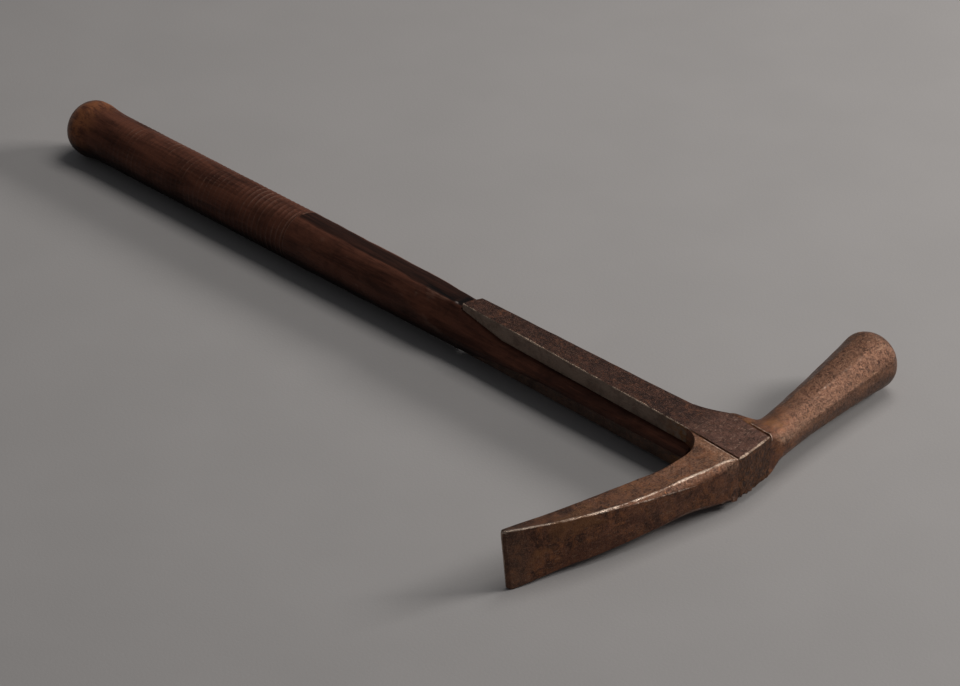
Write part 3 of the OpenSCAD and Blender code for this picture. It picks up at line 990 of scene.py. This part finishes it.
def rivet_iron():
    s = Shader("rivet_iron")
    blotch = s.noise(3, 5, 0.65)
    grain = s.noise(0.8, 4, 0.7)
    colour = s.blend(s.rise(blotch, 0.35, 0.65), (0.034, 0.013, 0.008), (0.080, 0.035, 0.022))
    colour = s.blend(s.rise(grain, 0.55, 0.75, 0, 0.6), colour, (0.140, 0.050, 0.018))
    colour = s.blend(s.mark("dirt_and_shade"), colour, (0.014, 0.006, 0.004))
    rough = s.rise(blotch, 0.3, 0.7, 0.45, 0.6)
    metal = s.rise(grain, 0.4, 0.7, 0.65, 0.4)
    return s.finish(colour, rough, metal, s.bump(grain, 0.08))


def handle_wood():
    s = Shader("handle_wood")
    fibre = s.noise(1.3, 5, 0.7, place=s.stretched(0.05, 1, 1), twist=0.3)
    pore = s.noise(0.35, 3, 0.6, place=s.stretched(0.06, 1, 1))
    figure = s.noise(7, 4, 0.6, place=s.stretched(0.16, 1, 1), twist=0.6)
    stain = s.noise(12, 5, 0.65)
    colour = s.blend(s.rise(figure, 0.32, 0.64), (0.044, 0.0155, 0.0098), (0.120, 0.0425, 0.0250))
    colour = s.blend(s.rise(fibre, 0.44, 0.68, 0, 0.5), colour, (0.160, 0.058, 0.034))
    colour = s.blend(s.rise(stain, 0.50, 0.66, 0, 0.35), colour, (0.016, 0.0070, 0.0048))
    colour = s.blend(s.rise(pore, 0.60, 0.74, 0, 0.6), colour, (0.010, 0.006, 0.005))
    worn = s.rise(s.times(s.mark("wear_and_highlight"), s.math("ADD", 0.4, pore)), 0.08, 0.50)
    colour = s.blend(s.times(worn, 0.8), colour, (0.200, 0.110, 0.078))
    # orange patches over the knob, and a greyer bloom on its end
    patch = s.noise(4.5, 6, 0.75, place=s.stretched(0.6, 1, 1), twist=0.8)
    orange = s.times(s.mark("knob"), s.rise(patch, 0.40, 0.58, 0.0, 0.9))
    colour = s.blend(orange, colour, (0.270, 0.100, 0.042))
    bloom = s.rise(s.noise(6, 4, 0.6), 0.36, 0.56, 0.3, 0.9)
    colour = s.blend(s.times(s.mark("end_grain"), bloom), colour, (0.310, 0.240, 0.212))
    on_flat = s.mark("flat")
    flat_tone = s.blend(s.rise(fibre, 0.38, 0.70), (0.003, 0.0016, 0.0014), (0.022, 0.0082, 0.0055))
    colour = s.blend(s.times(on_flat, 0.85), colour, flat_tone)
    # painted shade: the tone mark darkens the wood towards its underside
    colour = s.shade(colour, s.mark("tone"))
    colour = s.blend(s.mark("chip"), colour, (0.24, 0.20, 0.185))
    # grime in creases, and a painted shadow in the pocket and the bruise behind the strap's tip
    colour = s.blend(s.times(s.mark("dirt_and_shade"), 0.95), colour, (0.004, 0.0026, 0.0026))
    relief = s.bump(pore, 0.08, s.bump(fibre, 0.16))
    rough = s.mix(worn, s.rise(stain, 0.4, 0.65, 0.40, 0.56), 0.42)
    rough = s.mix(on_flat, rough, 0.74)
    s.surface.inputs["Specular IOR Level"].default_value = 0.1
    return s.finish(colour, rough, 0.0, relief)


def floor_paper():
    s = Shader("floor_paper")
    cloud = s.noise(60, 4, 0.5)
    tooth = s.noise(1.2, 3, 0.6)
    colour = s.blend(s.rise(cloud, 0.3, 0.7), (0.375, 0.357, 0.350), (0.390, 0.371, 0.364))
    return s.finish(colour, s.rise(tooth, 0.3, 0.7, 0.72, 0.85), 0.0, s.bump(tooth, 0.05))


# ---- Camera, floor and light ----

# Lengths in this section are in metres, except the lens, which is in millimetres.
CAMERA_AZIMUTH = math.radians(45.36)
CAMERA_ELEVATION = math.radians(31.16)
CAMERA_DISTANCE = 1.5268
# the camera is shifted to its left and upwards, so the crown is right of and below the middle
CAMERA_ASIDE = -0.1038
CAMERA_RISE = 0.0489
CAMERA_LENS = 150
LIGHT_AIM = (0.08, -0.02, 0)
LIGHT_TINT = (1.0, 0.98, 0.95)
SKY_TINT = (0.92, 0.95, 1.0, 1)
SKY_STRENGTH = 0.10


def make_camera():
    """Looks down at the tool from the crown's side."""
    a, e = CAMERA_AZIMUTH, CAMERA_ELEVATION
    back = Vector((math.sin(a) * math.cos(e), -math.cos(a) * math.cos(e), math.sin(e)))
    right = Vector((math.cos(a), math.sin(a), 0))
    up = back.cross(right)
    data = bpy.data.cameras.new("camera")
    data.lens = CAMERA_LENS
    data.clip_start = 0.05
    camera = bpy.data.objects.new("camera", data)
    camera.location = Vector(CROWN) + back * CAMERA_DISTANCE + right * CAMERA_ASIDE + up * CAMERA_RISE
    camera.rotation_mode = "QUATERNION"
    camera.rotation_quaternion = (-back).to_track_quat("-Z", "Y")
    bpy.context.scene.collection.objects.link(camera)
    bpy.context.scene.camera = camera


def make_floor(material):
    """A wide round sheet under the tool."""
    reach = 14.0
    around = 64
    angle = np.arange(around) / around * 2 * math.pi
    rim = [(reach * math.cos(t), reach * math.sin(t), 0) for t in angle]
    mesh = bpy.data.meshes.new("floor")
    mesh.from_pydata(rim, [], [list(range(around))])
    mesh.materials.append(material)
    floor = bpy.data.objects.new("floor", mesh)
    bpy.context.scene.collection.objects.link(floor)


def make_light(name, place, size, power):
    data = bpy.data.lights.new(name, "AREA")
    data.shape = "RECTANGLE"
    data.size, data.size_y = size
    data.energy = power
    data.color = LIGHT_TINT
    light = bpy.data.objects.new(name, data)
    light.location = place
    light.rotation_mode = "QUATERNION"
    light.rotation_quaternion = (Vector(LIGHT_AIM) - Vector(place)).to_track_quat("-Z", "Y")
    bpy.context.scene.collection.objects.link(light)


def make_world():
    world = bpy.data.worlds.new("world")
    world.use_nodes = True
    sky = world.node_tree.nodes["Background"]
    sky.inputs["Color"].default_value = SKY_TINT
    sky.inputs["Strength"].default_value = SKY_STRENGTH
    bpy.context.scene.world = world


def make_lights():
    """A large soft box overhead, and a smaller one behind on the poll's side, which lights its flank."""
    make_light("overhead", place=(0.12, 0.52, 1.34), size=(0.9, 0.7), power=7.5)
    make_light("back_light", place=(0.74, 1.10, 0.62), size=(0.5, 0.3), power=12.0)


# ---- Making ----

make_camera()
make_floor(floor_paper())
make_world()
make_lights()
make_head(head_steel())
make_strap(strap_iron())
make_handle(handle_wood())
pin_finish = rivet_iron()
for rivet in range(1, RIVETS + 1):
    make_rivet(rivet, pin_finish)
bpy.context.scene.view_settings.view_transform = "Standard"

bpy.context.view_layer.update()
